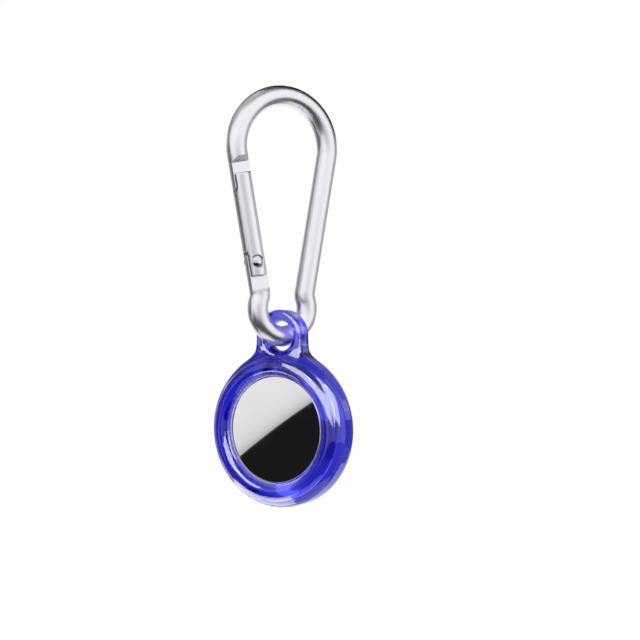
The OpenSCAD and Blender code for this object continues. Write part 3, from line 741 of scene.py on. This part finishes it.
def closing_spring():
    """A wire carried along a helix, whose two end curls close up and are drawn flat to the coil's ends."""
    sides = 10
    rings_a_curl = 28
    end_curls = 1.2
    curl_pitch = 1.05 * 2 * WIRE_R
    end_rise = 0.55 * curl_pitch
    t = np.linspace(0, 1, SPRING_TURNS * rings_a_curl + 1)
    ends = end_curls / SPRING_TURNS
    climb = np.clip((t - ends) / (1 - 2 * ends), 0, 1)
    lift = WIRE_R + end_rise * (np.clip(t / ends, 0, 1) + np.clip((t - 1) / ends + 1, 0, 1))
    z = lift - SPRING_LOW + climb * (SPRING_LOW - SPRING_TOP - 2 * WIRE_R - 2 * end_rise)
    a = 2 * math.pi * SPRING_TURNS * t
    middle = np.stack([SPRING_R * np.cos(a), SPRING_R * np.sin(a), z], -1)
    ahead = np.gradient(middle, axis=0)
    ahead /= np.linalg.norm(ahead, axis=1)[:, None]
    side = np.stack([np.cos(a), np.sin(a), 0 * a], -1)
    up = np.cross(side, ahead)
    b = (2 * math.pi * np.arange(sides) / sides)[None, :, None]
    rings = middle[:, None] + WIRE_R * (np.cos(b) * side[:, None] + np.sin(b) * up[:, None])
    points, faces = swept(rings)
    return on_gate_leg(points), faces


make_piece("carabiner_rod", *bent_rod(), "carabiner", "bare_aluminium", aluminium, ["carabiner_body"])
make_piece("gate_bar", *gate_bar(), "gate", "bare_aluminium", aluminium, ["carabiner_gate"])
make_piece("gate_pin", *rivet(), "gate", "rivet_steel", rivet_finish, ["gate_rivet"])
spring = make_piece("closing_spring", *closing_spring(), "gate", "spring_wire", spring_finish,
                    ["gate_spring"])
spring_end, spring_foot = on_gate_leg(np.array([[0, 0, -SPRING_TOP], [0, 0, -SPRING_LOW]]))
1 - PLUNGER_TRAVEL / (SPRING_LOW - SPRING_TOP)
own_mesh(spring)


# Case
def tag_distance(r, z):
    """Half section of the tag: a shallow dome behind, then two quarter ellipses that meet at the widest
    line."""
    q = np.minimum(r / DOME_R, 1)
    back_out = np.maximum(r - DOME_R, 0) * BACK_HIGH / BACK_ROUND
    front_out = np.maximum(r - FRONT_R, 0) * FRONT_HIGH / FRONT_ROUND
    back = np.hypot(back_out, z - RIM_UP) - BACK_HIGH + DOME_FALL * (q * q - 1)
    front = np.hypot(front_out, z - RIM_UP) - FRONT_HIGH
    return np.where(z < RIM_UP, back, front)


def ring_distance(r, z):
    """Section of the case's ring: a rounded shoulder, a lip that falls away outwards along an ellipse,
    and a thin flange at the window's edge."""
    lip_crest, lip_high, lip_wide = LIP_R - 0.45, 1.6, 2.15
    flange_back, flange_half, flange_edge = 0.3, 4.0, 0.3
    above = np.maximum(np.abs(z) - (CASE_HALF - SHOULDER_R), 0)
    shoulder = np.hypot(r - (CASE_R - SHOULDER_R), above) - SHOULDER_R
    flank = r - lip_crest
    flank = np.where(flank > 0, flank * lip_high / lip_wide, flank)
    lip = np.hypot(flank, np.abs(z) - (LIP_Z - lip_high)) - lip_high
    flange = box_distance(np.abs(r - (WINDOW_R + LIP_R) / 2) - (LIP_R - WINDOW_R) / 2,
                          np.abs(z + flange_back) - flange_half, flange_edge)
    return blend_min(blend_min(shoulder, lip, 0.22), flange, 0.5)


def plate_distance(rho, r, z):
    """The eyelet: a flat plate with round edges, whose outline is a disc that runs into the case's in
    two fillets."""
    case_outline = CASE_R - 0.35
    a, b = rho - EYELET_R, r - case_outline
    notch = np.hypot(np.maximum(EYELET_FILLET - a, 0), np.maximum(EYELET_FILLET - b, 0))
    outline = np.maximum(EYELET_FILLET, np.minimum(a, b)) - notch
    return box_distance(outline, np.abs(z) - EYELET_HALF, EYELET_EDGE)


def hole_distance(rho, z):
    """The eyelet's hole, whose throat opens towards both faces along an ellipse."""
    wide = HOLE_R + HOLE_FLARE
    across = np.minimum(rho - wide, 0) / HOLE_FLARE
    q = np.hypot(across, np.minimum(np.abs(z), EYELET_HALF) / EYELET_HALF)
    return np.maximum((1 - q) * HOLE_FLARE, rho - wide)


def case_distance(p):
    """The case in its own frame: its ring and its eyelet, with a blend that widens towards the eyelet's
    faces and its top, less the hole and the tag's space."""
    x, y, z = p[..., 0], p[..., 1], p[..., 2]
    r = np.hypot(x, y)
    rho = np.hypot(x, y - EYELET_Y)
    near_face = eased((np.abs(z) - 0.6) / 2)
    near_top = eased((y - 12) / 9)
    soft = 0.5 + 1.7 * near_face * near_top
    solid = blend_min(ring_distance(r, z), plate_distance(rho, r, z), soft)
    solid = blend_max(solid, -hole_distance(rho, z), 0.3)
    return blend_max(solid, TAG_FIT - tag_distance(r, z + TAG_SHIFT), 0.15)


def blue_case():
    """The case's skin."""
    points, faces = skin_of(case_distance, (-19.35, -19.35, -5.85), (19.4, 29.2, 5.8), 0.3)
    return in_case(points), faces


blue_piece = make_piece("blue_case", *blue_case(), "case", "blue_case", blue, ["tag_case"])


# Tag
def shell_side(wall):
    """The shell's profile at a depth inside it: the dome, then two quarter ellipses."""
    dome = np.linspace(0, 1, 24)[:-1]
    crown = np.stack([DOME_R * dome, DOME_FALL * dome ** 2 - TAG_HALF + wall], -1)
    back = arc(DOME_R, RIM_UP, BACK_ROUND - wall, BACK_HIGH - wall, -90, 0, 20)
    front = arc(FRONT_R, RIM_UP, FRONT_ROUND - wall, FRONT_HIGH - wall, 0, 90, 20)
    return np.concatenate([crown, back[:-1], front])


def shell():
    """The shell: its outside, the mouth and its inside as one turned profile, and three catches."""
    front_z, mouth_ease, catch_root = 3.3, 0.08, 0.06
    catch_low = SKIRT_LOW + LUG_T + LUG_GAP
    mouth = np.array([[OPENING_R + mouth_ease, front_z], [OPENING_R, front_z - mouth_ease],
                      [OPENING_R, SKIRT_LOW - LUG_GAP]])
    profile = np.concatenate([shell_side(0), mouth, shell_side(SHELL_WALL)[::-1]])
    parts = [turned(profile, in_tag)]
    for k in range(3):
        parts.append(sector(OPENING_R - CATCH_IN, OPENING_R + catch_root, catch_low, catch_low + CATCH_T,
                            120 * k + 90, CATCH_ARC, in_tag))
    return joined(parts)


def steel_cover():
    """The cover: a dished disc that falls as the square of its radius to a rolled edge, with a skirt
    and lugs."""
    crown_r, roll_r, roll_half, roll_drop = 12.62, 0.18, 0.175, 0.66
    inside_r, skirt_drop, inside_drop, ease, lug_root = 11.6, 0.8, 0.78, 0.05, 0.17
    q = np.linspace(0, 1, 40)

    def dished(r):
        return np.stack([r, TAG_HALF - COVER_FALL * (r / COVER_R) ** 2], -1)

    edge = arc(crown_r, TAG_HALF - roll_drop, roll_r, roll_half, 90, -90, 10)
    skirt = np.array([[SKIRT_R, TAG_HALF - skirt_drop], [SKIRT_R, SKIRT_LOW + ease],
                      [SKIRT_R - ease, SKIRT_LOW], [SKIRT_IN_R + ease, SKIRT_LOW],
                      [SKIRT_IN_R, SKIRT_LOW + ease], [SKIRT_IN_R, TAG_HALF - inside_drop]])
    inside = dished(inside_r * q[::-1]) - [0, COVER_T]
    profile = np.concatenate([dished(crown_r * q), edge[1:], skirt, inside])[::-1]
    parts = [turned(profile, in_tag, 256)]
    for k in range(3):
        parts.append(sector(SKIRT_R - lug_root, LUG_R, SKIRT_LOW, SKIRT_LOW + LUG_T,
                            120 * k + 90, LUG_ARC, in_tag))
    return joined(parts)


def seal_ring():
    """The seal's section, a rectangle with round corners, carried round inside the cover's skirt."""
    low = TAG_HALF - COVER_T - CELL_GAP - CELL_STAND + CONTACT_GAP
    high = TAG_HALF - COVER_FALL - COVER_T
    e, skirt_play = 0.25, 0.07
    r_in, r_out = WALL_IN_R + HAIR + e, SKIRT_IN_R - skirt_play - e
    section = np.concatenate([arc(r_out, high - e, e, e, 90, 0, 5), arc(r_out, low + e, e, e, 0, -90, 5),
                              arc(r_in, low + e, e, e, -90, -180, 5), arc(r_in, high - e, e, e, 180, 90, 5)])
    return turned(section[::-1], in_tag)


def damping_pad():
    """A thin disc with an eased edge, at the level of the CAD's pad between the cup and the tray."""
    pad_r, half = 5.4, 0.05
    low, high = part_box("magnet_pad")[0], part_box("magnet_pad")[1]
    front_axis = np.array([math.sin(CASE_TURN), -math.cos(CASE_TURN)])
    levels = [np.dot(np.array(corner[:2]) / MM, front_axis) for corner in (low, high)]
    middle = sum(levels) / 2 + TAG_SHIFT
    rim = arc(pad_r - half, middle, half, half, -90, 90, 8)
    profile = np.concatenate([[[0, middle - half]], rim, [[0, middle + half]]])
    return turned(profile, in_tag, 96)


make_piece("white_shell", *shell(), "case", "white_shell", white, ["tag_shell"])
make_piece("steel_cover", *steel_cover(), "cover", "cover_steel", cover_finish, ["battery_cover"])
make_piece("cover_seal_ring", *seal_ring(), "cover", "seal_rubber", rubber, ["cover_seal"])
make_piece("damping_pad", *damping_pad(), "case", "pad_rubber", pad_finish, ["magnet_pad"])


# Stage: the camera looks level, turned to its right by AIM
SCENE = bpy.context.scene
AIM = math.radians(30.2)
AHEAD = Vector((math.sin(AIM), math.cos(AIM), 0))
RIGHT = Vector((math.cos(AIM), -math.sin(AIM), 0))
UP = Vector((0, 0, 1))
MIDDLE = Vector((0.0, 0.0, -0.048))
FLOOR_Z = -0.30
FLOOR_HALF = 4
CARD_DISTANCE = 0.8
BOX_DISTANCE = 0.7


def stage_place(right, up, ahead):
    """A place by its distances from the object's middle, as the camera sees them."""
    return MIDDLE + RIGHT * right + UP * up + AHEAD * ahead


def toward(heading, height):
    """A direction from the object, by degrees to the right of the camera and above it."""
    a, e = math.radians(heading), math.radians(height)
    return (RIGHT * math.sin(a) - AHEAD * math.cos(a)) * math.cos(e) + UP * math.sin(e)


def stage_mesh(name, points, faces, material):
    """A piece of the studio."""
    mesh = bpy.data.meshes.new(name)
    mesh.from_pydata([tuple(point) for point in points], [], faces)
    mesh.materials.append(material)
    made = bpy.data.objects.new(name, mesh)
    SCENE.collection.objects.link(made)
    return made


def pale_stage():
    """The floor's material: a pale matt colour, lifted to the backdrop's white where it is seen."""
    paint = Paint("Pale stage", Base_Color=(0.85, 0.85, 0.85), Roughness=0.8)
    glow = paint.node("Emission", Color=(1, 1, 1), Strength=1.1)
    paint.surface(paint.node("MixShader", Fac=paint.seen_rays() * 0.88, i1=paint.shaded, i2=glow))
    return paint.material


def toned(name, level):
    """A card's material, of one even tone, from 0 for black to 1 for the backdrop's white. Seen through
    the blue case it is white."""
    paint = Paint(name)
    through = paint.maths("MINIMUM", paint.node("LightPath", output="Transmission Depth"), 1.0)
    paint.surface(paint.node("Emission", Color=(1, 1, 1), Strength=level + (1 - level) * through))
    return paint.material


def split_tone(edge, down):
    """The split card's material: near black below its line, and above it a grey that clears to white,
    by half in each halving distance."""
    dark, white_level, grey_depth, halving = 0.012, 0.988, 0.45, 0.0033
    paint = Paint("Split card")
    below = paint.node("VectorMath", {"operation": "DOT_PRODUCT"}, output="Value",
                       i0=paint.place(), i1=tuple(down))
    above = edge.dot(down) - below
    grey = white_level - grey_depth * paint.maths("POWER", 0.5, above / halving)
    level = dark + grey * paint.maths("GREATER_THAN", above, 0.0)
    paint.surface(paint.node("Emission", Color=(1, 1, 1), Strength=level))
    return paint.material


def for_reflections(card):
    """Leaves a card to be seen in reflections alone."""
    card.visible_camera = card.visible_diffuse = card.visible_transmission = False
    card.visible_shadow = card.visible_volume_scatter = False


def curved_card(name, left, right, low, high, level, lit_for):
    """A card bent round the object: part of a sphere, between two headings and two heights in degrees.
    Where it's lit for some pieces alone, the others see it black."""
    columns, rows = 13, 9
    points = [MIDDLE + toward(a, e) * CARD_DISTANCE
              for e in np.linspace(low, high, rows) for a in np.linspace(left, right, columns)]
    faces = [(k, k + 1, k + columns + 1, k + columns)
             for k in range(columns * (rows - 1)) if (k + 1) % columns]
    made = stage_mesh(name, points, faces, toned(name, level))
    for_reflections(made)
    made.light_linking.receiver_collection = lit_for


def split_card():
    """The card whose edge shows as the line across the polished cover. It stands where the camera's
    view bounces off the cover, tilted like the line."""
    distance, drop, half_length, top, bottom = 0.12, 0.0048, 0.05, -0.021, 0.06
    line_across, line_up = 0.8445, 0.5355
    front = Vector((math.sin(CASE_TURN), -math.cos(CASE_TURN), 0))
    side = Vector((math.cos(CASE_TURN), math.sin(CASE_TURN), 0))
    bounce = AHEAD - front * (2 * AHEAD.dot(front))
    across = (front * -AHEAD.dot(side) - side * AHEAD.dot(front)).normalized()
    along = (across * -line_across + UP * -line_up).normalized()
    down = (across * line_up - UP * line_across).normalized()
    edge = DISC + bounce * distance + down * drop
    corners = [edge + along * i + down * j for i, j in ((-half_length, top), (half_length, top),
                                                        (half_length, bottom), (-half_length, bottom))]
    for_reflections(stage_mesh("split_card", corners, [(0, 1, 2, 3)], split_tone(edge, down)))


FLOOR_CORNERS = [(i * FLOOR_HALF, j * FLOOR_HALF, FLOOR_Z) for i, j in ((-1, -1), (1, -1), (1, 1), (-1, 1))]
floor = stage_mesh("floor", FLOOR_CORNERS, [(0, 1, 2, 3)], pale_stage())
floor.visible_glossy = False

only_blue = bpy.data.collections.new("lit_by_front_boxes")
only_blue.objects.link(blue_piece)
not_blue = bpy.data.collections.new("lit_by_right_card")
for piece in SCENE.objects:
    if piece.type == "MESH" and piece != blue_piece:
        not_blue.objects.link(piece)

DISC = Vector((0, 0, CASE_Z * MM))
split_card()

# Each card's two headings, two heights, tone, and the pieces that it is lit for
CARDS = {
    "front_low_card": (-20, 66, -60, -17, 0.01, None),
    "front_left_low_card": (-52, -20, -60, -19, 0.01, None),
    "right_low_card": (66, 128, -56, -18, 0.16, None),
    "camera_card": (-12, 42, -17, 8, 0.66, None),
    "left_low_card": (-122, -52, -54, -17, 0.07, None),
    "left_dark_card": (-106, -76, -17, 9, 0.02, None),
    "left_link_card": (-76, -53, -18, -8, 0.03, None),
    "left_far_card": (-150, -106, -17, 9, 0.32, None),
    "left_grey_card": (-124, -84, 9, 36, 0.24, None),
    "back_high_card": (98, 205, 12, 86, 0.3, only_blue),
    "back_left_high_card": (205, 236, 14, 66, 0.30, None),
    "top_card": (-60, 98, 58, 88, 0.32, None),
    "left_high_card": (-124, -60, 36, 80, 0.45, None),
    "right_card": (96, 150, -18, 11, 0.40, not_blue),
}
for card_name, card in CARDS.items():
    curved_card(card_name, *card)


# Light and camera
def studio_white():
    """The world: the backdrop's white where it is seen, and dimmer as a light."""
    world = bpy.data.worlds.new("Studio white")
    world.use_nodes = True
    sky = NodeTree(world.node_tree, "ShaderNodeOutputWorld")
    dim = sky.node("Background", Color=(1, 1, 1), Strength=0.65)
    bright = sky.node("Background", Color=(1, 1, 1), Strength=1.0)
    sky.surface(sky.node("MixShader", Fac=sky.seen_rays(), i1=dim, i2=bright))
    return world


def soft_box(name, place, power, size, in_gloss=True, roll=0.0, lit_for=None):
    """A rectangular lamp that faces the object, by its watts, its width and height, and its roll in
    degrees."""
    lamp = bpy.data.lights.new(name, "AREA")
    lamp.shape = "RECTANGLE"
    lamp.size, lamp.size_y = size
    lamp.energy = power
    light = bpy.data.objects.new(name, lamp)
    light.location = place
    facing = (MIDDLE - place).to_track_quat("-Z", "Y")
    light.rotation_euler = (facing @ Quaternion((0, 0, 1), math.radians(roll))).to_euler()
    light.visible_glossy = in_gloss
    SCENE.collection.objects.link(light)
    light.light_linking.receiver_collection = lit_for
    return light


def camera():
    """A long lens, level with the lower part of the carabiner."""
    data = bpy.data.cameras.new("camera")
    data.lens = 104.5
    data.sensor_width = 36
    data.clip_start = 0.01
    made = bpy.data.objects.new("camera", data)
    made.location = (-0.2185, -0.3935, -0.0518)
    made.rotation_euler = (math.radians(90), 0, -AIM)
    SCENE.collection.objects.link(made)
    return made


SCENE.world = studio_white()
soft_box("key_box", stage_place(0.20, 0.45, -0.35), 0.6, (0.60, 0.60), in_gloss=False)
bounce_box = soft_box("bounce_box", stage_place(0.03, -0.22, -0.02), 0.9, (0.40, 0.30), in_gloss=False)
bounce_box.visible_camera = False
soft_box("fill_box", stage_place(-0.50, 0.15, -0.35), 0.8, (0.50, 0.50), in_gloss=False)

# Each front box's heading, height, half width and roll, in degrees
FRONT_BOXES = ((-41, 32, 18, 0), (-5, 29, 18, 0), (32, 25, 19, -14))
for number, (heading, height, half, roll) in enumerate(FRONT_BOXES, 1):
    width = 2 * BOX_DISTANCE * math.tan(math.radians(half))
    soft_box(f"front_box_{number}", MIDDLE + toward(heading, height) * BOX_DISTANCE, 6.6, (width, 0.58),
             roll=roll, lit_for=only_blue)

soft_box("rim_box", MIDDLE + toward(118, 18) * BOX_DISTANCE, 0.10, (0.10, 0.36), lit_for=only_blue)
low_box = soft_box("low_box", DISC + toward(-118, -52) * 0.22, 0.5, (0.20, 0.20), lit_for=only_blue)
low_box.visible_transmission = low_box.visible_camera = False

SCENE.camera = camera()
SCENE.view_settings.view_transform = "Standard"

bpy.context.view_layer.update()
